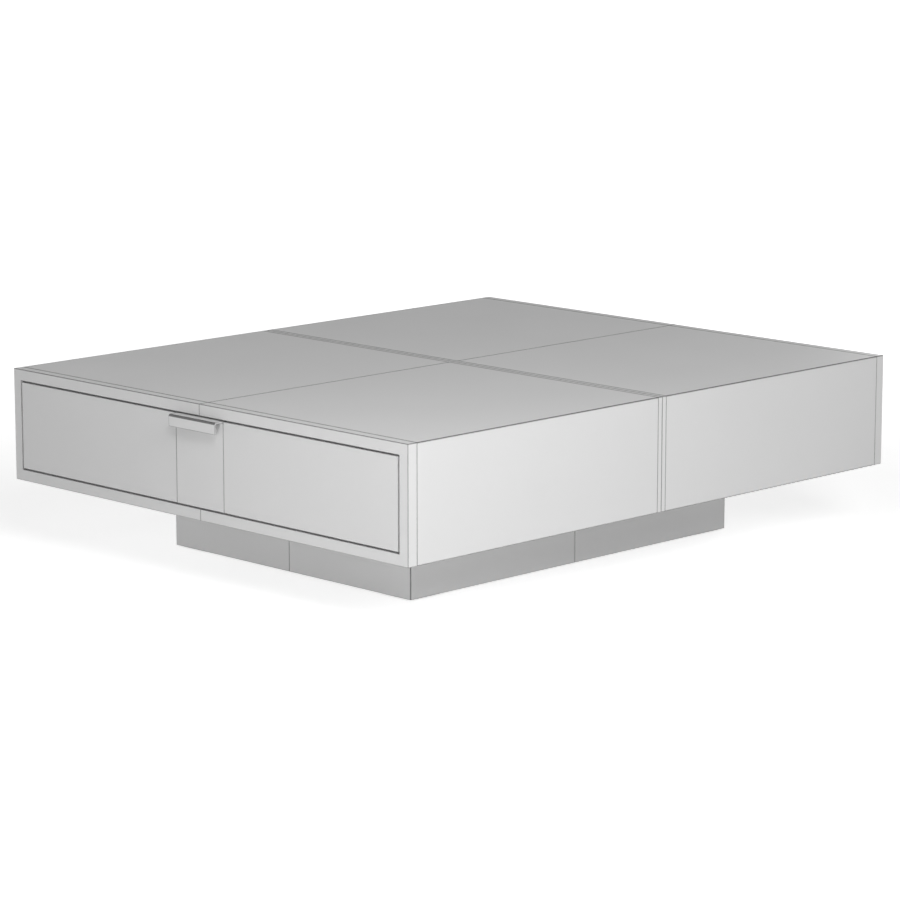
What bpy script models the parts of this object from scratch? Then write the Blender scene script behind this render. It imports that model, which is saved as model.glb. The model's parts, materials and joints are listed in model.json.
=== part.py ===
"""Low square coffee table: two drawer modules stand back to back on a recessed plinth.

Metres, +Z up. The origin is on the floor under the middle of the table. X runs along the drawer
fronts. The front module's drawer faces -Y, and the rear module is the same module turned by half
a turn. Each drawer hangs on two three-part telescopic runners.
"""

import math

import bmesh
import bpy
from mathutils import Matrix, Vector

# Case, over both modules
CASE_WIDTH = 1.000
CASE_DEPTH = 1.200
CASE_HEIGHT = 0.200
BOARD = 0.020
FRAME_DEPTH = 0.020
BACK_THICKNESS = 0.010
MODULE_GAP = 0.0007

# Edges and fits
ARRIS = 0.0010
SEAM_ARRIS = 0.0005
SEAT = 0.0003
HAIR = 0.00001

# Plinth
PLINTH_INSET = 0.200
PLINTH_HEIGHT = 0.120
PLINTH_BOARD = 0.018
STRETCHER_HEIGHT = 0.080
GLIDE = 0.0020

# Moulded corner feet of the plinth
FOOT_REACH = 0.080
FOOT_INSET = 0.006
FOOT_HEIGHT = 0.070
FOOT_WALL = 0.004
FOOT_CORNER_RADIUS = 0.008
FOOT_HOLE_RADIUS = 0.0025
FOOT_HOLE_SHARES = (0.42, 0.82)
FOOT_HOLE_HEIGHT_SHARE = 0.55
FOOT_GUSSET_SHARE = 0.8

# Drawer fronts
REVEAL = 0.0024
FRONT_THICKNESS = 0.020
CENTRE_BOARD = 0.120

# Finger pull, let into the top edge of the centre board
PULL_SHEET = 0.0020
PULL_INSET = 0.0015
PULL_REACH = 0.0175
PULL_LIP = 0.0205
PULL_TONGUE = 0.012
PULL_BEND = 0.0036
PULL_EDGE = 0.0005

# Drawer box
BOX_WALL = 0.015
BOX_CLEARANCE = 0.020
BOX_BACK_SPACE = 0.0647
BOTTOM_THICKNESS = 0.006
BOTTOM_RISE = 0.010
GROOVE_DEPTH = 0.007

# Telescopic runners
RUNNER_SPACE = 0.0127
RUNNER_HEIGHT = 0.045
RUNNER_SETBACK = 0.0025
RUNNER_DEPTH = 0.0090
RUNNER_SHEET = 0.0012
RUNNER_PLAY = 0.0004
RUNNER_LIP = 0.0035
RUNNER_BEND = 0.0010
SCREW_HOLE_RADIUS = 0.0022
SCREW_HOLE_SHARES = (0.07, 0.45, 0.91)
SLOT_SHARES = (0.2, 0.8)
SLOT_LENGTH = 0.060
SLOT_WIDTH = 0.010
STOP_HALF_WIDTH = 0.006

# Smoothness of the round shapes
BEND_STEPS = 2
CORNER_STEPS = 4
HOLE_SIDES = 12

# Places that several pieces share
HALF_WIDTH = CASE_WIDTH / 2
HALF_DEPTH = CASE_DEPTH / 2
CASE_BASE = GLIDE + PLINTH_HEIGHT
PLINTH_HALF_WIDTH = HALF_WIDTH - PLINTH_INSET
PLINTH_HALF_DEPTH = HALF_DEPTH - PLINTH_INSET
PLINTH_TOP = CASE_BASE - SEAT
OPENING_HALF_WIDTH = HALF_WIDTH - BOARD
OPENING_HALF_HEIGHT = CASE_HEIGHT / 2 - BOARD
FRONT_HALF_WIDTH = OPENING_HALF_WIDTH - REVEAL
FRONT_HALF_HEIGHT = OPENING_HALF_HEIGHT - REVEAL
BOX_HALF_WIDTH = OPENING_HALF_WIDTH - RUNNER_SPACE
BOX_HALF_HEIGHT = OPENING_HALF_HEIGHT - BOX_CLEARANCE
BOX_START = FRONT_THICKNESS + SEAT
BOX_END = HALF_DEPTH - BACK_THICKNESS - BOX_BACK_SPACE
RUNNER_START = BOX_START + RUNNER_SETBACK
RUNNER_END = BOX_END - RUNNER_SETBACK
BOTTOM_LOW = BOTTOM_RISE - BOX_HALF_HEIGHT
BOTTOM_HIGH = BOTTOM_LOW + BOTTOM_THICKNESS

LEFT = Vector((-1, 0, 0))
RIGHT = Vector((1, 0, 0))
FORE = Vector((0, -1, 0))
BACK = Vector((0, 1, 0))
DOWN = Vector((0, 0, -1))
UP = Vector((0, 0, 1))


def clear_scene():
    """Remove every object of the open file."""
    for item in list(bpy.data.objects):
        bpy.data.objects.remove(item, do_unlink=True)


def finish(name, color, roughness, metallic=0.0):
    """A plain surface of one colour."""
    surface = bpy.data.materials.new(name)
    surface.use_nodes = True
    shader = surface.node_tree.nodes["Principled BSDF"]
    shader.inputs["Base Color"].default_value = (*color, 1.0)
    shader.inputs["Roughness"].default_value = roughness
    shader.inputs["Metallic"].default_value = metallic
    return surface


def carrier(name, parent=None, location=(0, 0, 0), turn=0.0):
    """An empty that carries pieces; turn is about Z."""
    empty = bpy.data.objects.new(name, None)
    empty.parent = parent
    empty.location = location
    empty.rotation_euler = (0, 0, turn)
    bpy.context.scene.collection.objects.link(empty)
    return empty


def place(name, mesh, surface=None, parent=None, location=(0, 0, 0), rotation=(0, 0, 0)):
    """Put a mesh in the scene as an object of its own."""
    item = bpy.data.objects.new(name, mesh)
    item.parent = parent
    item.location = location
    item.rotation_euler = rotation
    if surface and not mesh.materials:
        mesh.materials.append(surface)
    bpy.context.scene.collection.objects.link(item)
    return item


def to_mesh(name, shape):
    """Close a shape into a mesh with its faces pointing out."""
    bmesh.ops.recalc_face_normals(shape, faces=shape.faces)
    mesh = bpy.data.meshes.new(name)
    shape.to_mesh(mesh)
    shape.free()
    return mesh


def make(name, shape, surface, parent):
    """Place a shape that was drawn in its parent's coordinates, with its origin in its middle."""
    places = [vert.co for vert in shape.verts]
    low = Vector([min(place[i] for place in places) for i in range(3)])
    high = Vector([max(place[i] for place in places) for i in range(3)])
    middle = (low + high) / 2
    bmesh.ops.translate(shape, verts=shape.verts, vec=-middle)
    return place(name, to_mesh(name, shape), surface, parent, middle)


def round_off(mesh, angle=math.radians(30)):
    """Shade the round stretches of a mesh smooth."""
    mesh.shade_smooth()
    mesh.set_sharp_from_angle(angle=angle)
    return mesh


def block(low, high):
    """A box between two corners, given in any order."""
    shape = bmesh.new()
    bmesh.ops.create_cube(shape, size=1)
    size = [abs(b - a) for a, b in zip(low, high)]
    bmesh.ops.scale(shape, verts=shape.verts, vec=size)
    bmesh.ops.translate(shape, verts=shape.verts, vec=(Vector(low) + Vector(high)) / 2)
    return shape


def prism(outline, axis, start, end):
    """Extrude an outline along X, Y or Z; its points give the other two coordinates in order."""
    shape = bmesh.new()
    corners = []
    for point in outline:
        corner = list(point)
        corner.insert("XYZ".index(axis), start)
        corners.append(shape.verts.new(corner))
    face = shape.faces.new(corners)
    grown = bmesh.ops.extrude_face_region(shape, geom=[face])["geom"]
    moved = [part for part in grown if isinstance(part, bmesh.types.BMVert)]
    step = [0, 0]
    step.insert("XYZ".index(axis), end - start)
    bmesh.ops.translate(shape, verts=moved, vec=step)
    bmesh.ops.recalc_face_normals(shape, faces=shape.faces)
    return shape


def saw(shape, point, outward):
    """Cut a closed shape with a plane and keep the side that outward points away from."""
    parts = shape.verts[:] + shape.edges[:] + shape.faces[:]
    cut = bmesh.ops.bisect_plane(
        shape, geom=parts, plane_co=point, plane_no=outward.normalized(), clear_outer=True
    )
    rim = [part for part in cut["geom_cut"] if isinstance(part, bmesh.types.BMEdge)]
    bmesh.ops.edgeloop_fill(shape, edges=rim)


def corner_of(low, high, towards):
    """The corner of a box that lies furthest along a direction."""
    return Vector([max(a, b) if t > 0 else min(a, b) for a, b, t in zip(low, high, towards)])


def ease(shape, low, high, edges, width):
    """Take the arris off edges of a blank; each edge is the pair of faces that it joins."""
    for first, second in edges:
        towards = first + second
        saw(shape, corner_of(low, high, towards) - first * width, towards)


def mitre(shape, low, high, mine, other):
    """Cut this board's half of a mitre, between its own face and the next board's face."""
    outward = (other - mine).normalized()
    saw(shape, corner_of(low, high, mine + other) - outward * SEAT / 2, outward)


def board(name, low, high, surface, parent, mitres=(), seams=()):
    """A board cut from a blank: mitred corners, their arris, and eased edges along its seams."""
    shape = block(low, high)
    for mine, other in mitres:
        mitre(shape, low, high, mine, other)
    ease(shape, low, high, mitres, ARRIS)
    ease(shape, low, high, seams, SEAM_ARRIS)
    return make(name, shape, surface, parent)


def bevel(shape, edges, width, steps=1):
    """Bevel or round the given edges of a shape."""
    bmesh.ops.bevel(
        shape, geom=edges, offset=width, offset_type="OFFSET", segments=steps, profile=0.5,
        affect="EDGES", clamp_overlap=True,
    )


def take_mesh(item):
    """The mesh of a pattern piece with its modifiers applied; the piece and its helpers go."""
    seen = item.evaluated_get(bpy.context.evaluated_depsgraph_get())
    mesh = round_off(bpy.data.meshes.new_from_object(seen))
    helpers = [modifier.object for modifier in item.modifiers if modifier.type == "BOOLEAN"]
    for done in helpers + [item]:
        bpy.data.objects.remove(done, do_unlink=True)
    return mesh


def combine(item, shape, operation):
    """Add or cut a helper shape with a Boolean modifier."""
    helper = bpy.data.objects.new(item.name + "_" + operation.lower(), to_mesh(item.name, shape))
    helper.parent = item.parent
    helper.hide_render = True
    helper.display_type = "WIRE"
    bpy.context.scene.collection.objects.link(helper)
    boolean = item.modifiers.new(operation.lower(), "BOOLEAN")
    boolean.operation = operation
    boolean.object = helper


def drill(places, axis, radius, length):
    """Round pins along an axis at several places, to cut holes with."""
    shape = bmesh.new()
    turn = {"X": Matrix.Rotation(math.pi / 2, 4, "Y"), "Y": Matrix.Rotation(math.pi / 2, 4, "X")}
    for spot in places:
        bmesh.ops.create_cone(
            shape, cap_ends=True, segments=HOLE_SIDES, radius1=radius, radius2=radius,
            depth=length, matrix=Matrix.Translation(spot) @ turn[axis],
        )
    return shape


def face_frame(name, hand, surface, module):
    """Half of the frame round a drawer: half a top rail, a stile and half a bottom rail."""
    seam, outer, inner = SEAT / 2, HALF_WIDTH, OPENING_HALF_WIDTH
    outline = [
        (seam, 0), (outer, 0), (outer, CASE_HEIGHT), (seam, CASE_HEIGHT),
        (seam, CASE_HEIGHT - BOARD), (inner, CASE_HEIGHT - BOARD), (inner, BOARD), (seam, BOARD),
    ]
    start, end = -HALF_DEPTH, FRAME_DEPTH - HALF_DEPTH - SEAT / 2
    shape = prism([(hand * x, z) for x, z in outline], "Y", start, end)

    def on_rim(vert):
        inside = abs(vert.co.x) < inner + HAIR
        level = BOARD - HAIR < vert.co.z < CASE_HEIGHT - BOARD + HAIR
        return inside and level and vert.co.y < start + HAIR

    rim = [edge for edge in shape.edges if all(on_rim(vert) for vert in edge.verts)]
    bevel(shape, rim, SEAM_ARRIS)
    side, seamward = RIGHT * hand, LEFT * hand
    low, high = (hand * seam, start, 0), (hand * outer, end, CASE_HEIGHT)
    outer_edges = [(FORE, UP), (FORE, side), (FORE, DOWN), (side, UP), (side, DOWN)]
    seams = [(BACK, UP), (BACK, side), (BACK, DOWN)]
    seams += [(seamward, FORE), (seamward, UP), (seamward, DOWN)]
    ease(shape, low, high, outer_edges, ARRIS)
    ease(shape, low, high, seams, SEAM_ARRIS)
    return make(name, shape, surface, module)


def shell(prefix, surface, module):
    """The boards between a module's face frame and its back: a sleeve with mitred corners."""
    start, end = FRAME_DEPTH - HALF_DEPTH + SEAT / 2, -BACK_THICKNESS - SEAT / 2
    under = CASE_HEIGHT - BOARD
    for word, hand in (("left", -1), ("right", 1)):
        side, seamward = RIGHT * hand, LEFT * hand
        board(
            f"{prefix}_top_{word}",
            (hand * SEAT / 2, start, under), (hand * HALF_WIDTH, end, CASE_HEIGHT),
            surface, module, [(UP, side)], [(FORE, UP), (BACK, UP), (seamward, UP)],
        )
        board(
            f"{prefix}_side_{word}",
            (hand * OPENING_HALF_WIDTH, start, 0), (hand * HALF_WIDTH, end, CASE_HEIGHT),
            surface, module, [(side, UP), (side, DOWN)], [(FORE, side), (BACK, side)],
        )
    board(
        f"{prefix}_bottom", (-HALF_WIDTH, start, 0), (HALF_WIDTH, end, BOARD),
        surface, module, [(DOWN, LEFT), (DOWN, RIGHT)], [(FORE, DOWN), (BACK, DOWN)],
    )


def back_panel(name, surface, module):
    """The panel that closes a module towards the other one; its edges show as a thin strip."""
    low = (-HALF_WIDTH, SEAT / 2 - BACK_THICKNESS, 0)
    high = (HALF_WIDTH, -MODULE_GAP / 2, CASE_HEIGHT)
    rim = (UP, DOWN, LEFT, RIGHT)
    shape = block(low, high)
    ease(shape, low, high, [(side, end) for side in (LEFT, RIGHT) for end in (UP, DOWN)], ARRIS)
    ease(shape, low, high, [(face, edge) for face in (FORE, BACK) for edge in rim], SEAM_ARRIS)
    return make(name, shape, surface, module)


def drawer_front(prefix, surface, carriage):
    """Three upright boards; the top edge of the middle one has a rebate for the finger pull."""
    top, middle = FRONT_HALF_HEIGHT, CENTRE_BOARD / 2
    for word, hand in (("left", -1), ("right", 1)):
        low = (hand * (middle + SEAT / 2), 0, -top)
        high = (hand * FRONT_HALF_WIDTH, FRONT_THICKNESS, top)
        edges = [(FORE, UP), (FORE, DOWN), (FORE, LEFT), (FORE, RIGHT)]
        board(f"{prefix}_drawer_front_{word}", low, high, surface, carriage, seams=edges)
    rebate_end, rebate_floor = PULL_TONGUE + SEAT, top - PULL_SHEET - SEAT
    outline = [
        (0, -top), (FRONT_THICKNESS, -top), (FRONT_THICKNESS, top),
        (rebate_end, top), (rebate_end, rebate_floor), (0, rebate_floor),
    ]
    edge = middle - SEAT / 2
    shape = prism(outline, "X", -edge, edge)
    low, high = (-edge, 0, -top), (edge, FRONT_THICKNESS, top)
    ease(shape, low, high, [(FORE, DOWN), (FORE, LEFT), (FORE, RIGHT)], SEAM_ARRIS)
    make(f"{prefix}_drawer_front_centre", shape, surface, carriage)


def finger_pull(name, surface, carriage):
    """A strip: a tongue in the rebate, a shelf over the fingers and a lip down in front."""
    top, low, front = FRONT_HALF_HEIGHT, FRONT_HALF_HEIGHT - PULL_LIP, -PULL_REACH
    outline = [
        (PULL_TONGUE, top), (front, top), (front, low), (front + PULL_SHEET, low),
        (front + PULL_SHEET, top - PULL_SHEET), (PULL_TONGUE, top - PULL_SHEET),
    ]
    half = CENTRE_BOARD / 2 - PULL_INSET
    shape = prism(outline, "X", -half, half)

    def along(y, z):
        here = Vector((y, z))
        return [
            edge for edge in shape.edges
            if all((vert.co.yz - here).length < HAIR for vert in edge.verts)
        ]

    bevel(shape, along(front, top), PULL_BEND, CORNER_STEPS)
    bevel(
        shape, along(front + PULL_SHEET, top - PULL_SHEET), PULL_BEND - PULL_SHEET, CORNER_STEPS
    )
    bevel(shape, along(front, low) + along(front + PULL_SHEET, low), PULL_EDGE, BEND_STEPS)
    round_off(make(name, shape, surface, carriage).data)


def groove_outline(outer, inner, low, high):
    """A wall's section with a groove for the bottom panel in its inner face."""
    depth = (GROOVE_DEPTH + SEAT) * (1 if outer > inner else -1)
    return [
        (outer, low), (outer, high), (inner, high), (inner, BOTTOM_HIGH + SEAT),
        (inner + depth, BOTTOM_HIGH + SEAT), (inner + depth, BOTTOM_LOW - SEAT),
        (inner, BOTTOM_LOW - SEAT), (inner, low),
    ]


def drawer_box(prefix, surface, carriage):
    """Two sides, a front and a back round a bottom panel that lies in grooves."""
    top, bottom = BOX_HALF_HEIGHT, -BOX_HALF_HEIGHT
    inner = BOX_HALF_WIDTH - BOX_WALL
    for word, hand in (("left", -1), ("right", 1)):
        outline = groove_outline(hand * BOX_HALF_WIDTH, hand * inner, bottom, top)
        shape = prism(outline, "Y", BOX_START, BOX_END)
        low, high = (hand * inner, BOX_START, bottom), (hand * BOX_HALF_WIDTH, BOX_END, top)
        ease(shape, low, high, [(UP, LEFT), (UP, RIGHT)], ARRIS)
        make(f"{prefix}_box_{word}", shape, surface, carriage)
    reach = inner - SEAT
    inside = BOX_START + BOX_WALL
    shape = prism(groove_outline(BOX_START, inside, bottom, top), "X", -reach, reach)
    ease(shape, (-reach, BOX_START, bottom), (reach, inside, top), [(UP, BACK)], ARRIS)
    make(f"{prefix}_box_front", shape, surface, carriage)
    low = (-reach, BOX_END - BOX_WALL, BOTTOM_HIGH + SEAT)
    high = (reach, BOX_END, top)
    shape = block(low, high)
    ease(shape, low, high, [(UP, FORE), (UP, BACK)], ARRIS)
    make(f"{prefix}_box_back", shape, surface, carriage)
    board(
        f"{prefix}_box_bottom",
        (-inner - GROOVE_DEPTH, inside - GROOVE_DEPTH, BOTTOM_LOW),
        (inner + GROOVE_DEPTH, BOX_END, BOTTOM_HIGH), surface, carriage,
    )


def rolled_strip(name, section, length):
    """Sheet metal bent along its length: a strip through the section's points, given a thickness."""
    shape = bmesh.new()
    rows = [[shape.verts.new((x, y, z)) for x, z in section] for y in (0, length)]
    for near, far in zip(zip(rows[0], rows[0][1:]), zip(rows[1], rows[1][1:])):
        shape.faces.new((near[0], near[1], far[1], far[0]))
    item = place(name, to_mesh(name, shape))
    bends = item.modifiers.new("bends", "BEVEL")
    bends.width = RUNNER_BEND
    bends.segments = BEND_STEPS
    bends.limit_method = "ANGLE"
    sheet = item.modifiers.new("sheet", "SOLIDIFY")
    sheet.thickness = RUNNER_SHEET
    sheet.offset = 0
    sheet.use_even_offset = True
    return item


def mirrored(half):
    """A section from its upper half: the same points again below, in reverse order."""
    return half + [(x, -z) for x, z in reversed(half)]


def runner_meshes():
    """The three members of a runner, with x from the case's side towards the drawer.

    Each origin is on the case's side, at mid height, at the front end. The case member is a
    channel with lips. The middle member is a smaller one inside it, and the drawer member is a
    hat section whose feet run behind the lips of the middle one.
    """
    step = RUNNER_SHEET + RUNNER_PLAY
    half_sheet = RUNNER_SHEET / 2
    web = SEAT + half_sheet
    lip = SEAT + RUNNER_DEPTH - half_sheet
    top = RUNNER_HEIGHT / 2 - half_sheet
    length = RUNNER_END - RUNNER_START
    inner_length = length - RUNNER_SHEET - RUNNER_PLAY

    case = rolled_strip("case_member", mirrored([(lip, top - RUNNER_LIP), (lip, top), (web, top)]), length)
    stop = block(
        (web, length - RUNNER_SHEET, -STOP_HALF_WIDTH), (lip, length, STOP_HALF_WIDTH)
    )
    combine(case, stop, "UNION")
    screws = [(web, share * length, 0) for share in SCREW_HOLE_SHARES]
    combine(case, drill(screws, "X", SCREW_HOLE_RADIUS, RUNNER_DEPTH), "DIFFERENCE")

    web, lip, top = web + step, lip - step, top - step
    middle = rolled_strip(
        "middle_member", mirrored([(lip, top - RUNNER_LIP), (lip, top), (web, top)]), inner_length
    )
    slots = bmesh.new()
    for share in SLOT_SHARES:
        bmesh.ops.create_cube(
            slots, size=1,
            matrix=Matrix.Translation((web, share * inner_length, 0))
            @ Matrix.Diagonal((RUNNER_DEPTH / 2, SLOT_LENGTH, SLOT_WIDTH, 1)),
        )
    combine(middle, slots, "DIFFERENCE")

    foot, leg = lip - step, top - RUNNER_LIP - RUNNER_PLAY - half_sheet
    face = RUNNER_SPACE - SEAT - half_sheet
    hat = mirrored([(foot, top - half_sheet - RUNNER_PLAY), (foot, leg), (face, leg)])
    drawer = rolled_strip("drawer_member", hat, inner_length)
    screws = [(face, share * inner_length, 0) for share in SCREW_HOLE_SHARES]
    combine(drawer, drill(screws, "X", SCREW_HOLE_RADIUS, RUNNER_DEPTH), "DIFFERENCE")
    return [take_mesh(item) for item in (case, middle, drawer)]


def runners(prefix, meshes, surface, fixed, carriage):
    """Both runners of a drawer; each middle member has a carrier of its own, as it moves."""
    for word, hand, roll in (("left", -1, 0), ("right", 1, math.pi)):
        at = (hand * OPENING_HALF_WIDTH, RUNNER_START, 0)
        stage = carrier(f"{prefix}_stage_{word}", fixed)
        names = ("case_member", "middle_member", "drawer_member")
        for kind, mesh, parent in zip(names, meshes, (fixed, stage, carriage)):
            place(f"{prefix}_runner_{word}_{kind}", mesh, surface, parent, at, (0, roll, 0))


def module(prefix, turn, table, surfaces, meshes):
    """Half of the table: a case with its drawer, seen from its own front."""
    case = carrier(f"{prefix}_module", table, (0, 0, CASE_BASE), turn)
    for word, hand in (("left", -1), ("right", 1)):
        face_frame(f"{prefix}_frame_{word}", hand, surfaces["lacquer"], case)
    shell(prefix, surfaces["lacquer"], case)
    back_panel(f"{prefix}_back", surfaces["lacquer"], case)
    opening = carrier(f"{prefix}_opening", case, (0, -HALF_DEPTH, CASE_HEIGHT / 2))
    carriage = carrier(f"{prefix}_carriage", opening)
    drawer_front(prefix, surfaces["lacquer"], carriage)
    finger_pull(f"{prefix}_pull", surfaces["pull"], carriage)
    drawer_box(prefix, surfaces["box"], carriage)
    runners(prefix, meshes, surfaces["steel"], opening, carriage)


def plinth_boards(surface, table):
    """Eight boards: each side of the plinth is two boards that meet in its middle."""
    for end_word, end_hand in (("front", -1), ("rear", 1)):
        for word, hand in (("left", -1), ("right", 1)):
            side, end = RIGHT * hand, BACK * end_hand
            x, y = hand * PLINTH_HALF_WIDTH, end_hand * PLINTH_HALF_DEPTH
            high = (x, y, PLINTH_TOP)
            low = (hand * SEAT / 2, y - end_hand * PLINTH_BOARD, GLIDE)
            seams = [(end, -side), (end, DOWN)]
            board(f"plinth_{end_word}_{word}", low, high, surface, table, [(end, side)], seams)
            low = (x - hand * PLINTH_BOARD, end_hand * SEAT / 2, GLIDE)
            seams = [(side, -end), (side, DOWN)]
            board(f"plinth_{word}_{end_word}", low, high, surface, table, [(side, end)], seams)


def stretchers(surface, table):
    """Two boards on edge that back the plinth's seams and are halved over each other."""
    low, top = PLINTH_TOP - STRETCHER_HEIGHT, PLINTH_TOP
    middle = (low + top) / 2
    slot = PLINTH_BOARD / 2 + SEAT
    for name, axis, reach, edge, floor in (
        ("plinth_stretcher_long", "X", PLINTH_HALF_DEPTH, top, low),
        ("plinth_stretcher_cross", "Y", PLINTH_HALF_WIDTH, low, top),
    ):
        end = reach - PLINTH_BOARD - SEAT
        notch = middle - math.copysign(SEAT / 2, edge - middle)
        outline = [
            (-end, floor), (end, floor), (end, edge), (slot, edge),
            (slot, notch), (-slot, notch), (-slot, edge), (-end, edge),
        ]
        shape = prism(outline, axis, -PLINTH_BOARD / 2, PLINTH_BOARD / 2)
        make(name, shape, surface, table)


def foot_mesh():
    """A moulded corner foot: x and y run inwards from the plinth's outer corner, z up."""
    wall = PLINTH_BOARD + SEAT
    inside = wall + FOOT_WALL
    plate_top = GLIDE - SEAT
    walls = prism(
        [(wall, wall), (FOOT_REACH, wall), (FOOT_REACH, inside), (inside, inside),
         (inside, FOOT_REACH), (wall, FOOT_REACH)],
        "Z", plate_top / 2, FOOT_HEIGHT,
    )
    item = place("foot", to_mesh("foot", walls))
    plate = block((FOOT_INSET, FOOT_INSET, 0), (FOOT_REACH, FOOT_REACH, plate_top))
    upright = [edge for edge in plate.edges if abs(edge.verts[0].co.z - edge.verts[1].co.z) > HAIR]
    bevel(plate, upright, FOOT_CORNER_RADIUS, CORNER_STEPS)
    combine(item, plate, "UNION")
    reach = FOOT_GUSSET_SHARE * FOOT_REACH * math.sqrt(2)
    start = (wall + FOOT_WALL / 2) * math.sqrt(2)
    rise = FOOT_GUSSET_SHARE * FOOT_HEIGHT
    outline = [(start, plate_top / 2), (reach, plate_top / 2), (start, rise)]
    gusset = prism(outline, "Y", -FOOT_WALL / 2, FOOT_WALL / 2)
    bmesh.ops.rotate(gusset, verts=gusset.verts, matrix=Matrix.Rotation(math.pi / 4, 3, "Z"))
    combine(item, gusset, "UNION")
    level = FOOT_HOLE_HEIGHT_SHARE * FOOT_HEIGHT
    spots = [share * FOOT_REACH for share in FOOT_HOLE_SHARES]
    middle = wall + FOOT_WALL / 2
    depth = FOOT_WALL * 2
    along_x = [(spot, middle, level) for spot in spots]
    along_y = [(middle, spot, level) for spot in spots]
    combine(item, drill(along_x, "Y", FOOT_HOLE_RADIUS, depth), "DIFFERENCE")
    combine(item, drill(along_y, "X", FOOT_HOLE_RADIUS, depth), "DIFFERENCE")
    return take_mesh(item)


def feet(surface, table):
    """The same foot in the plinth's four corners, turned by quarter turns."""
    mesh = foot_mesh()
    corners = (("front_left", -1, -1), ("front_right", 1, -1), ("rear_right", 1, 1), ("rear_left", -1, 1))
    for quarter, (word, hand, end) in enumerate(corners):
        at = (hand * PLINTH_HALF_WIDTH, end * PLINTH_HALF_DEPTH, 0)
        place(f"plinth_foot_{word}", mesh, surface, table, at, (0, 0, quarter * math.pi / 2))


def main():
    clear_scene()
    surfaces = {
        "lacquer": finish("light_grey_lacquer", (0.62, 0.62, 0.62), 0.5),
        "plinth": finish("plinth_lacquer", (0.60, 0.60, 0.60), 0.55),
        "pull": finish("pull_lacquer", (0.62, 0.62, 0.62), 0.5),
        "box": finish("drawer_board", (0.60, 0.595, 0.58), 0.6),
        "steel": finish("zinc_plated_steel", (0.58, 0.59, 0.61), 0.35, 1.0),
        "plastic": finish("foot_plastic", (0.035, 0.035, 0.037), 0.6),
    }
    table = carrier("coffee_table")
    meshes = runner_meshes()
    module("front", 0.0, table, surfaces, meshes)
    module("rear", math.pi, table, surfaces, meshes)
    plinth_boards(surfaces["plinth"], table)
    stretchers(surfaces["plinth"], table)
    feet(surfaces["plastic"], table)


main()
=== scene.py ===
"""Finish and setting of a low coffee table whose two drawer modules stand back to back.

Metres, +Z up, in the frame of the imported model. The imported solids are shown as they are, each with
a finish of its own. The screws are made here and ride on the bodies that they hold.
"""

import json
import math

import bmesh
import bpy
from mathutils import Matrix, Vector


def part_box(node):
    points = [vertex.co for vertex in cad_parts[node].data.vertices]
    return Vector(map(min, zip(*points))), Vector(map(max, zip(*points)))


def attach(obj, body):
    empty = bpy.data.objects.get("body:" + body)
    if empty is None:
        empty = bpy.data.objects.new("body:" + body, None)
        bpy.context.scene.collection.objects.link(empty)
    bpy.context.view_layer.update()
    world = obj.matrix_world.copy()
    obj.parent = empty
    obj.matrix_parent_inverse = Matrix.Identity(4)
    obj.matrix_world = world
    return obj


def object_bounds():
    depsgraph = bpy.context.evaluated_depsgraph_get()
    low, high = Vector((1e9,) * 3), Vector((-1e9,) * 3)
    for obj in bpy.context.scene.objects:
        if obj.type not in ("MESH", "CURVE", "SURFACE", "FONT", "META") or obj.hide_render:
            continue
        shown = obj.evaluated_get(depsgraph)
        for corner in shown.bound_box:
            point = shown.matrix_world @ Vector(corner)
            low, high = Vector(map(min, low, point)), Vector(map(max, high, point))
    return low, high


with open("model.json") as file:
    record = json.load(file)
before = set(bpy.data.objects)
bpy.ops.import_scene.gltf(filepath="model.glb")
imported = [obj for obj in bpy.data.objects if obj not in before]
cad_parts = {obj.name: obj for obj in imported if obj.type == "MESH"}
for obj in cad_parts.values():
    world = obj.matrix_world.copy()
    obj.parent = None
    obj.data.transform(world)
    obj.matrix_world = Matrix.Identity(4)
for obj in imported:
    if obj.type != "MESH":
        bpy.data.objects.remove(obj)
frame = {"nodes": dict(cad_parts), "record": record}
solid_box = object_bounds()

# Camera: a long lens in millimetres, its place and angles fitted to the photograph's straight edges
LENS = 140.864
SENSOR = 36.0
CAMERA_PLACE = (4.39594, -4.38718, 1.37568)
CAMERA_PITCH = 0.1931823
CAMERA_YAW = 0.7873743

# Floor and world: the light that they send to the table, and the glow that the camera sees, which
# on the floor grows with the distance from its middle
FLOOR_HALF = 30.0
CLIP_END = 4 * FLOOR_HALF
FLOOR_TONE = 0.80
FLOOR_ROUGHNESS = 0.9
FLOOR_LIGHT = 0.29
FLOOR_GLOW_NEAR, FLOOR_GLOW_FAR = 0.57, 1.0
GLOW_START, GLOW_END = 1.2, 3.5
SKY_LIGHT = 0.25
SKY_GLOW = 1.0

# Lamps: name, place, side of the square and power in watts; each looks at the middle of the table
LAMPS = (
    ("key", (1.186, -1.413, 1.448), 0.6, 10.2),
    ("right", (2.672, -0.790, 1.666), 1.0, 33.8),
    ("front_low", (0.613, -1.888, 0.386), 0.5, 3.8),
    ("right_low", (1.788, -0.713, 0.386), 0.5, 1.1),
    ("rear", (-0.824, 3.074, 0.584), 1.0, 20.0),
    ("left", (-3.074, -0.824, 0.584), 1.0, 20.0),
)

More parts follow.
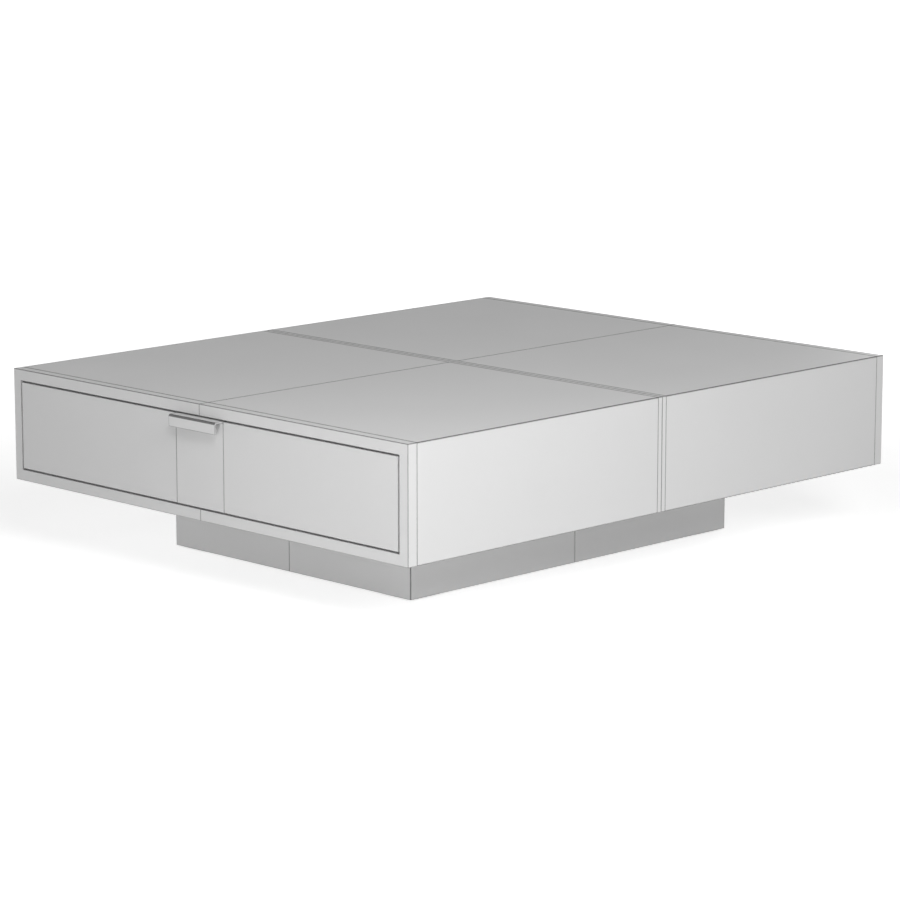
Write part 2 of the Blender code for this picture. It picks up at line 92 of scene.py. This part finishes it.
# Lacquer: linear tones and roughness, then its clouds, specks, sheen and orange peel, each with a
# scale and with how far it goes up and down
LACQUER_TONE, LACQUER_ROUGHNESS = (0.62, 0.62, 0.62), 0.50
PLINTH_TONE, PLINTH_ROUGHNESS = (0.62, 0.62, 0.62), 0.55
PULL_TONE, PULL_ROUGHNESS = (0.62, 0.62, 0.62), 0.48
LACQUER_SPECULAR = 0.2
CLOUD_SCALE, CLOUD_REACH = 2.2, 0.015
SPECK_SCALE, SPECK_REACH = 900.0, 0.01
SHEEN_SCALE, SHEEN_REACH = 5.0, 0.02
PEEL_SCALE, PEEL_DETAIL, PEEL_HEIGHT = 420.0, 1.0, 0.00004

# Edge lines: how dark an eased arris is, how dark the round bend of the pulls is, and the thin
# line beside a sharp edge, which is wider and darker on upward faces; where the rounded normal
# bends below the limit, the line starts
ARRIS_SHADE = 0.45
BEND_SHADE = 0.22
SIDE_REACH, TOP_REACH = 0.0029, 0.0032
LINE_SAMPLES = 8
SIDE_LIMIT, TOP_LIMIT = 0.91, 0.998
SIDE_SHADE, TOP_SHADE = 0.47, 0.14

# Faces count as slanted or square by the largest part of their normal, and look up by its rise
SLANTED_BELOW, SQUARE_ABOVE = 0.985, 0.995
UP_START, UP_FULL = 0.5, 0.9

# Where most values of a noise lie, and those of two noises multiplied
NOISE_RANGE = (0.3, 0.7)
WEAVE_RANGE = (0.1, 0.4)

# Foil inside the drawers
BOX_TONE = (0.60, 0.595, 0.58)
WEAVE_SCALE, WEAVE_DETAIL, WEAVE_STRETCH = 60.0, 3.0, 30
WEAVE_SHADE = (0.94, 1.06)
WEAVE_ROUGHNESS = (0.55, 0.70)
WEAVE_HEIGHT = 0.00006

# Zinc plate
STEEL_TONE = (0.58, 0.59, 0.61)
ROLLING_SCALE, ROLLING_DETAIL, ROLLING_STRETCH = 90.0, 4.0, 25
ROLLING_SHADE = (0.92, 1.06)
ROLLING_ROUGHNESS = (0.26, 0.46)
ROLLING_HEIGHT = 0.00003
SPANGLE_SCALE = 160.0
SPANGLE_SHADE = (0.94, 1.05)

# Moulded plastic
PLASTIC_TONE = (0.035, 0.035, 0.037)
GRAIN_SCALE = 1400.0
GRAIN_SHADE = (0.85, 1.2)
GRAIN_ROUGHNESS = (0.48, 0.66)
GRAIN_HEIGHT = 0.00006

# Sizes of the solids that the screws follow; the shares run along a runner from its front, across
# a foot from its corner, and over a drawer front from its left and its lower edge
RUNNER_SHEET = 0.0012
RUNNER_HOLE_SHARES = (0.07, 0.45, 0.91)
FOOT_REACH = 0.080
FOOT_WALL_FACE = 0.0223
FOOT_HOLE_SHARES = (0.42, 0.82)
FOOT_HOLE_HEIGHT_SHARE = 0.55
FRONT_COLUMN_SHARES = {"left": (0.12, 0.88), "centre": (0.5,), "right": (0.12, 0.88)}
FRONT_ROW_SHARES = (0.35, 0.80)

# Screw heads: a round one, and a flat one that lies in a hole of the runner; the dome is the share
# of a head's height that is rounded
HEAD_RADIUS, HEAD_HEIGHT, HEAD_DOME = 0.0036, 0.0019, 0.7
FLAT_RADIUS, FLAT_HEIGHT, FLAT_DOME = 0.0020, 0.0012, 0.12
HEAD_SIDES = 24
DOME_STEPS = 5
TURN_STEP = math.radians(67)
SMOOTH_ANGLE = math.radians(35)

# Cross recess: the width of an arm against its length, the size of its lower end against its upper
# end, and the levels of both ends as shares of the head's height
RECESS_WIDTH = 0.26
RECESS_TAPER = 0.35
RECESS_FLOOR, RECESS_TOP = 0.35, 1.3


def add(tree, kind, settings=(), inputs=()):
    """Add a shader node; settings are its properties, inputs are numbers or nodes' outputs."""
    made = tree.nodes.new("ShaderNode" + kind)
    for key, value in dict(settings).items():
        setattr(made, key, value)
    for key, value in dict(inputs).items():
        if isinstance(value, bpy.types.NodeSocket):
            tree.links.new(value, made.inputs[key])
        else:
            made.inputs[key].default_value = value
    return made


def combined(tree, operation, first, second):
    """The result of a Math node for two numbers or outputs."""
    return add(tree, "Math", {"operation": operation}, {0: first, 1: second}).outputs["Value"]


def spread(tree, value, low, high, start=0.0, end=1.0):
    """Map a value between start and end to a value between low and high."""
    ends = {"Value": value, "From Min": start, "From Max": end, "To Min": low, "To Max": high}
    return add(tree, "MapRange", inputs=ends).outputs["Result"]


def noise(tree, coordinates, scale, detail=2.0, stretch=(1, 1, 1)):
    """Soft noise over an object, mostly within NOISE_RANGE; stretch scales its axes."""
    scaled = add(tree, "Mapping", inputs={"Vector": coordinates, "Scale": stretch})
    inputs = {"Vector": scaled.outputs["Vector"], "Scale": scale, "Detail": detail}
    return add(tree, "TexNoise", inputs=inputs).outputs["Fac"]


def around(tree, coordinates, scale, middle, reach):
    """A value that a noise moves up and down around its middle."""
    drift = noise(tree, coordinates, scale)
    return spread(tree, drift, middle - reach, middle + reach, *NOISE_RANGE)


def shaded(tree, tone, factor):
    """A tone multiplied by a factor that varies over the surface."""
    scaled = add(tree, "VectorMath", {"operation": "SCALE"}, {"Vector": tone, "Scale": factor})
    return scaled.outputs["Vector"]


def slant(tree):
    """1 on faces that lie at a slant to all three axes, such as an eased arris, and 0 elsewhere."""
    normal = add(tree, "NewGeometry").outputs["True Normal"]
    size = add(tree, "VectorMath", {"operation": "ABSOLUTE"}, {"Vector": normal})
    axes = add(tree, "SeparateXYZ", inputs={"Vector": size.outputs["Vector"]}).outputs
    most = combined(tree, "MAXIMUM", combined(tree, "MAXIMUM", axes["X"], axes["Y"]), axes["Z"])
    return spread(tree, most, 1.0, 0.0, SLANTED_BELOW, SQUARE_ABOVE)


def upward(tree, side, top):
    """One value on faces that look up, another on the rest."""
    normal = add(tree, "NewGeometry").outputs["True Normal"]
    rise = add(tree, "SeparateXYZ", inputs={"Vector": normal}).outputs["Z"]
    return spread(tree, rise, side, top, UP_START, UP_FULL)


def edge_line(tree):
    """A factor that darkens a thin line along the sharp edges of a piece."""
    inputs = {"Radius": upward(tree, SIDE_REACH, TOP_REACH)}
    rounded = add(tree, "Bevel", {"samples": LINE_SAMPLES}, inputs).outputs["Normal"]
    normal = add(tree, "NewGeometry").outputs["True Normal"]
    bend = add(tree, "VectorMath", {"operation": "DOT_PRODUCT"}, {0: rounded, 1: normal})
    limit = upward(tree, SIDE_LIMIT, TOP_LIMIT)
    line = combined(tree, "LESS_THAN", bend.outputs["Value"], limit)
    return spread(tree, line, 1.0, upward(tree, SIDE_SHADE, TOP_SHADE))


def blank(name):
    """A new material with its node tree, its shader and coordinates that stay on the object."""
    material = bpy.data.materials.new(name)
    material.use_nodes = True
    tree = material.node_tree
    shader = tree.nodes["Principled BSDF"]
    return material, tree, shader, add(tree, "TexCoord").outputs["Object"]


def dress(tree, shader, colour, roughness, relief, height):
    """Join a colour, a roughness and a relief from 0 to 1, times a height, to a shader."""
    bump = add(tree, "Bump", inputs={"Height": relief, "Distance": height})
    tree.links.new(colour, shader.inputs["Base Color"])
    tree.links.new(roughness, shader.inputs["Roughness"])
    tree.links.new(bump.outputs["Normal"], shader.inputs["Normal"])


def paint(name, tone, roughness, arris=ARRIS_SHADE):
    """Sprayed satin lacquer: fine orange peel, faint clouds and darker eased edges."""
    material, tree, shader, spot = blank(name)
    factor = around(tree, spot, CLOUD_SCALE, 1.0, CLOUD_REACH)
    speck = around(tree, spot, SPECK_SCALE, 1.0, SPECK_REACH)
    for shade in (speck, spread(tree, slant(tree), 1.0, arris), edge_line(tree)):
        factor = combined(tree, "MULTIPLY", factor, shade)
    sheen = around(tree, spot, SHEEN_SCALE, roughness, SHEEN_REACH)
    peel = noise(tree, spot, PEEL_SCALE, PEEL_DETAIL)
    dress(tree, shader, shaded(tree, tone, factor), sheen, peel, PEEL_HEIGHT)
    shader.inputs["Specular IOR Level"].default_value = LACQUER_SPECULAR
    return material


def drawer_board(name, tone):
    """Matt foil with a fine linen texture, as inside drawers."""
    material, tree, shader, spot = blank(name)
    along = noise(tree, spot, WEAVE_SCALE, WEAVE_DETAIL, (1, WEAVE_STRETCH, WEAVE_STRETCH))
    across = noise(tree, spot, WEAVE_SCALE, WEAVE_DETAIL, (WEAVE_STRETCH, 1, WEAVE_STRETCH))
    weave = combined(tree, "MULTIPLY", along, across)
    colour = shaded(tree, tone, spread(tree, weave, *WEAVE_SHADE, *WEAVE_RANGE))
    roughness = spread(tree, weave, *WEAVE_ROUGHNESS, *WEAVE_RANGE)
    dress(tree, shader, colour, roughness, weave, WEAVE_HEIGHT)
    return material


def zinc(name, tone):
    """Zinc plated sheet, rolled along its length, with faint spangle."""
    material, tree, shader, spot = blank(name)
    stretch = (ROLLING_STRETCH, 1, ROLLING_STRETCH)
    rolling = noise(tree, spot, ROLLING_SCALE, ROLLING_DETAIL, stretch)
    cells = add(tree, "TexVoronoi", inputs={"Vector": spot, "Scale": SPANGLE_SCALE})
    spangle = spread(tree, cells.outputs["Distance"], *SPANGLE_SHADE)
    streak = spread(tree, rolling, *ROLLING_SHADE, *NOISE_RANGE)
    colour = shaded(tree, tone, combined(tree, "MULTIPLY", spangle, streak))
    roughness = spread(tree, rolling, *ROLLING_ROUGHNESS, *NOISE_RANGE)
    dress(tree, shader, colour, roughness, rolling, ROLLING_HEIGHT)
    shader.inputs["Metallic"].default_value = 1.0
    return material


def plastic(name, tone):
    """Injection moulded plastic with a spark-eroded grain."""
    material, tree, shader, spot = blank(name)
    grain = noise(tree, spot, GRAIN_SCALE)
    colour = shaded(tree, tone, spread(tree, grain, *GRAIN_SHADE, *NOISE_RANGE))
    roughness = spread(tree, grain, *GRAIN_ROUGHNESS, *NOISE_RANGE)
    dress(tree, shader, colour, roughness, grain, GRAIN_HEIGHT)
    return material


def finish_solids():
    """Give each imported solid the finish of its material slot."""
    finishes = {
        "lacquer": paint("satin_lacquer", LACQUER_TONE, LACQUER_ROUGHNESS),
        "plinth_lacquer": paint("plinth_lacquer", PLINTH_TONE, PLINTH_ROUGHNESS),
        "pull_lacquer": paint("powder_coat", PULL_TONE, PULL_ROUGHNESS, BEND_SHADE),
        "drawer_board": drawer_board("drawer_foil", BOX_TONE),
        "runner_steel": zinc("zinc_plate", STEEL_TONE),
        "foot_plastic": plastic("foot_plastic", PLASTIC_TONE),
    }
    for part in frame["record"]["subparts"]:
        solid = frame["nodes"][part["node"]]
        for place in solid.material_slots:
            place.material = finishes[part["material_slot"]]
    return finishes


def place_object(name, data):
    """Put a mesh, lamp or camera in the scene as an object of its own."""
    item = bpy.data.objects.new(name, data)
    bpy.context.scene.collection.objects.link(item)
    return item


def place_shape(name, shape):
    """Put a closed shape in the scene, with its faces pointing out."""
    bmesh.ops.recalc_face_normals(shape, faces=shape.faces)
    mesh = bpy.data.meshes.new(name)
    shape.to_mesh(mesh)
    shape.free()
    return place_object(name, mesh)


def head_profile(radius, height, dome):
    """Half section of a screw head, from its rim to the last step below its top."""
    rows = [(radius, 0.0), (radius, height * (1 - dome))]
    for step in range(1, DOME_STEPS):
        turn = math.pi / 2 * step / DOME_STEPS
        rows.append((radius * math.cos(turn), height * (1 - dome + dome * math.sin(turn))))
    return rows


def head_shape(radius, height, dome):
    """A round screw head that stands on the plane z = 0."""
    shape = bmesh.new()
    turns = [2 * math.pi * side / HEAD_SIDES for side in range(HEAD_SIDES)]
    rings = [
        [shape.verts.new((across * math.cos(a), across * math.sin(a), level)) for a in turns]
        for across, level in head_profile(radius, height, dome)
    ]
    for low, high in zip(rings, rings[1:]):
        for side in range(HEAD_SIDES):
            after = (side + 1) % HEAD_SIDES
            shape.faces.new((low[side], low[after], high[after], high[side]))
    top = shape.verts.new((0, 0, height))
    for side in range(HEAD_SIDES):
        shape.faces.new((rings[-1][side], rings[-1][(side + 1) % HEAD_SIDES], top))
    shape.faces.new(list(reversed(rings[0])))
    return shape


def recess_shape(radius, height, turn):
    """A tapered block as large as one arm of the cross recess."""
    shape = bmesh.new()
    bmesh.ops.create_cube(shape, size=1)
    for vert in shape.verts:
        upper = vert.co.z > 0
        length = radius * (1.0 if upper else RECESS_TAPER)
        vert.co.x *= length
        vert.co.y *= length * RECESS_WIDTH
        vert.co.z = height * (RECESS_TOP if upper else RECESS_FLOOR)
    bmesh.ops.rotate(shape, verts=shape.verts, matrix=Matrix.Rotation(turn, 3, "Z"))
    return shape


def head_mesh(name, radius, height, dome):
    """The mesh of a screw head with a tapered cross recess in its top."""
    item = place_shape(name, head_shape(radius, height, dome))
    cutters = []
    for turn in (0, math.pi / 2):
        cutter = place_shape(name + "_slot", recess_shape(radius, height, turn))
        cutters.append(cutter)
        cut = item.modifiers.new("slot", "BOOLEAN")
        cut.operation = "DIFFERENCE"
        cut.object = cutter
    whole = item.evaluated_get(bpy.context.evaluated_depsgraph_get())
    mesh = bpy.data.meshes.new_from_object(whole)
    for done in cutters + [item]:
        bpy.data.objects.remove(done, do_unlink=True)
    return mesh


def screws(name, body, head, seats, material):
    """One piece of several screw heads; each seat is the point it stands on and where it looks."""
    shape = bmesh.new()
    for count, (point, facing) in enumerate(seats):
        turned = Vector(facing).to_track_quat("Z", "Y").to_matrix().to_4x4()
        matrix = Matrix.Translation(point) @ turned @ Matrix.Rotation(count * TURN_STEP, 4, "Z")
        before = len(shape.verts)
        shape.from_mesh(head)
        shape.verts.ensure_lookup_table()
        bmesh.ops.transform(shape, matrix=matrix, verts=shape.verts[before:])
    item = place_shape(name, shape)
    item.data.materials.append(material)
    item.data.shade_smooth()
    item.data.set_sharp_from_angle(angle=SMOOTH_ANGLE)
    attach(item, body)


def between(low, high, share):
    """The place at a share of the way from low to high."""
    return low + (high - low) * share


def runner_seats(node, towards_drawer, outward):
    """Seats of the screws of a runner member, whose web lies on its case or its drawer side."""
    low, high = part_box(node)
    side = math.copysign(1, low.x + high.x)
    near, far = (low.x, high.x) if side > 0 else (high.x, low.x)
    web = near + side * RUNNER_SHEET if towards_drawer else far - side * RUNNER_SHEET
    front, back = (low.y, high.y) if outward < 0 else (high.y, low.y)
    facing = (side, 0, 0) if towards_drawer else (-side, 0, 0)
    level = (low.z + high.z) / 2
    return [((web, between(front, back, share), level), facing) for share in RUNNER_HOLE_SHARES]


def runner_screws(module, outward, heads, material):
    """Screws that hold a module's runners to its drawer and, sunk into their holes, to the case."""
    for hand in ("left", "right"):
        stem = f"{module}_runner_{hand}"
        seats = runner_seats(stem + "_drawer_member", True, outward)
        screws(stem + "_drawer_screws", f"{module}_drawer", heads["round"], seats, material)
        sunk = [
            (Vector(point) - Vector(facing) * FLAT_HEIGHT, facing)
            for point, facing in runner_seats(stem + "_case_member", False, outward)
        ]
        screws(stem + "_case_screws", "case", heads["flat"], sunk, material)


def front_screws(module, outward, head, material):
    """Screws through the front of the box into the three boards of the drawer front."""
    low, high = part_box(f"{module}_box_front")
    face = high.y if outward < 0 else low.y
    seats = []
    for word, columns in FRONT_COLUMN_SHARES.items():
        start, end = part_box(f"{module}_drawer_front_{word}")
        for column in columns:
            for row in FRONT_ROW_SHARES:
                point = (between(start.x, end.x, column), face, between(low.z, high.z, row))
                seats.append((point, (0, -outward, 0)))
    screws(f"{module}_front_screws", f"{module}_drawer", head, seats, material)


def foot_screws(corner, head, material):
    """Screws through the walls of a moulded foot into the plinth boards."""
    low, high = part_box(f"plinth_foot_{corner}")
    x_side, y_side = math.copysign(1, low.x + high.x), math.copysign(1, low.y + high.y)
    corner_x = (low.x if x_side > 0 else high.x) + x_side * FOOT_REACH
    corner_y = (low.y if y_side > 0 else high.y) + y_side * FOOT_REACH
    wall_x, wall_y = corner_x - x_side * FOOT_WALL_FACE, corner_y - y_side * FOOT_WALL_FACE
    level = between(low.z, high.z, FOOT_HOLE_HEIGHT_SHARE)
    seats = []
    for share in FOOT_HOLE_SHARES:
        along = share * FOOT_REACH
        seats.append(((corner_x - x_side * along, wall_y, level), (0, -y_side, 0)))
        seats.append(((wall_x, corner_y - y_side * along, level), (-x_side, 0, 0)))
    screws(f"plinth_foot_screws_{corner}", "case", head, seats, material)


def fit_screws(material):
    """Make all the screws, with one mesh for each kind of head."""
    heads = {
        "round": head_mesh("round_head", HEAD_RADIUS, HEAD_HEIGHT, HEAD_DOME),
        "flat": head_mesh("flat_head", FLAT_RADIUS, FLAT_HEIGHT, FLAT_DOME),
    }
    for module, outward in (("front", -1), ("rear", 1)):
        runner_screws(module, outward, heads, material)
        front_screws(module, outward, heads["round"], material)
    for corner in ("front_left", "front_right", "rear_left", "rear_right"):
        foot_screws(corner, heads["round"], material)


def seen(tree):
    """1 for what the camera sees, directly, mirrored or through glass, and 0 for lighting."""
    path = add(tree, "LightPath").outputs
    direct = combined(tree, "MAXIMUM", path["Is Camera Ray"], path["Is Glossy Ray"])
    return combined(tree, "MAXIMUM", direct, path["Is Transmission Ray"])


def floor_material():
    """White, with a glow that hides the floor's end, and clear from below."""
    material, tree, shader, spot = blank("white_floor")
    shader.inputs["Base Color"].default_value = (FLOOR_TONE, FLOOR_TONE, FLOOR_TONE, 1)
    shader.inputs["Roughness"].default_value = FLOOR_ROUGHNESS
    shader.inputs["Specular IOR Level"].default_value = 0.0
    shader.inputs["Emission Color"].default_value = (1, 1, 1, 1)
    away = add(tree, "VectorMath", {"operation": "LENGTH"}, {"Vector": spot}).outputs["Value"]
    glow = spread(tree, away, FLOOR_GLOW_NEAR, FLOOR_GLOW_FAR, GLOW_START, GLOW_END)
    strength = spread(tree, seen(tree), FLOOR_LIGHT, glow)
    tree.links.new(strength, shader.inputs["Emission Strength"])
    below = add(tree, "NewGeometry").outputs["Backfacing"]
    clear = add(tree, "BsdfTransparent").outputs["BSDF"]
    sides = add(tree, "MixShader", inputs={0: below, 1: shader.outputs["BSDF"], 2: clear})
    tree.links.new(sides.outputs["Shader"], tree.nodes["Material Output"].inputs["Surface"])
    return material


def make_floor():
    """A flat floor that looks up and keeps the table's shadow."""
    shape = bmesh.new()
    bmesh.ops.create_grid(shape, x_segments=1, y_segments=1, size=FLOOR_HALF)
    mesh = bpy.data.meshes.new("floor")
    shape.to_mesh(mesh)
    shape.free()
    mesh.materials.append(floor_material())
    place_object("floor", mesh)


def make_world():
    """A white surround that lights the table less than the camera sees of it."""
    world = bpy.data.worlds.new("studio")
    world.use_nodes = True
    bpy.context.scene.world = world
    tree = world.node_tree
    background = tree.nodes["Background"]
    background.inputs["Color"].default_value = (1, 1, 1, 1)
    strength = spread(tree, seen(tree), SKY_LIGHT, SKY_GLOW)
    tree.links.new(strength, background.inputs["Strength"])


def make_lamps():
    """Square lamps that the camera doesn't see."""
    target = Vector((0, 0, (solid_box[0].z + solid_box[1].z) / 2))
    for name, place, size, power in LAMPS:
        light = bpy.data.lights.new(name, "AREA")
        light.shape = "SQUARE"
        light.size = size
        light.energy = power
        lamp = place_object(name, light)
        lamp.location = place
        lamp.rotation_euler = (target - Vector(place)).to_track_quat("-Z", "Y").to_euler()
        lamp.visible_camera = False


def make_camera():
    """The camera of the photograph."""
    camera = bpy.data.cameras.new("camera")
    camera.sensor_width = SENSOR
    camera.lens = LENS
    camera.clip_end = CLIP_END
    item = place_object("camera", camera)
    item.location = CAMERA_PLACE
    item.rotation_euler = (math.pi / 2 - CAMERA_PITCH, 0, CAMERA_YAW)
    bpy.context.scene.camera = item


bpy.context.scene.view_settings.view_transform = "Standard"
make_camera()
finishes = finish_solids()
fit_screws(finishes["runner_steel"])
make_floor()
make_world()
make_lamps()
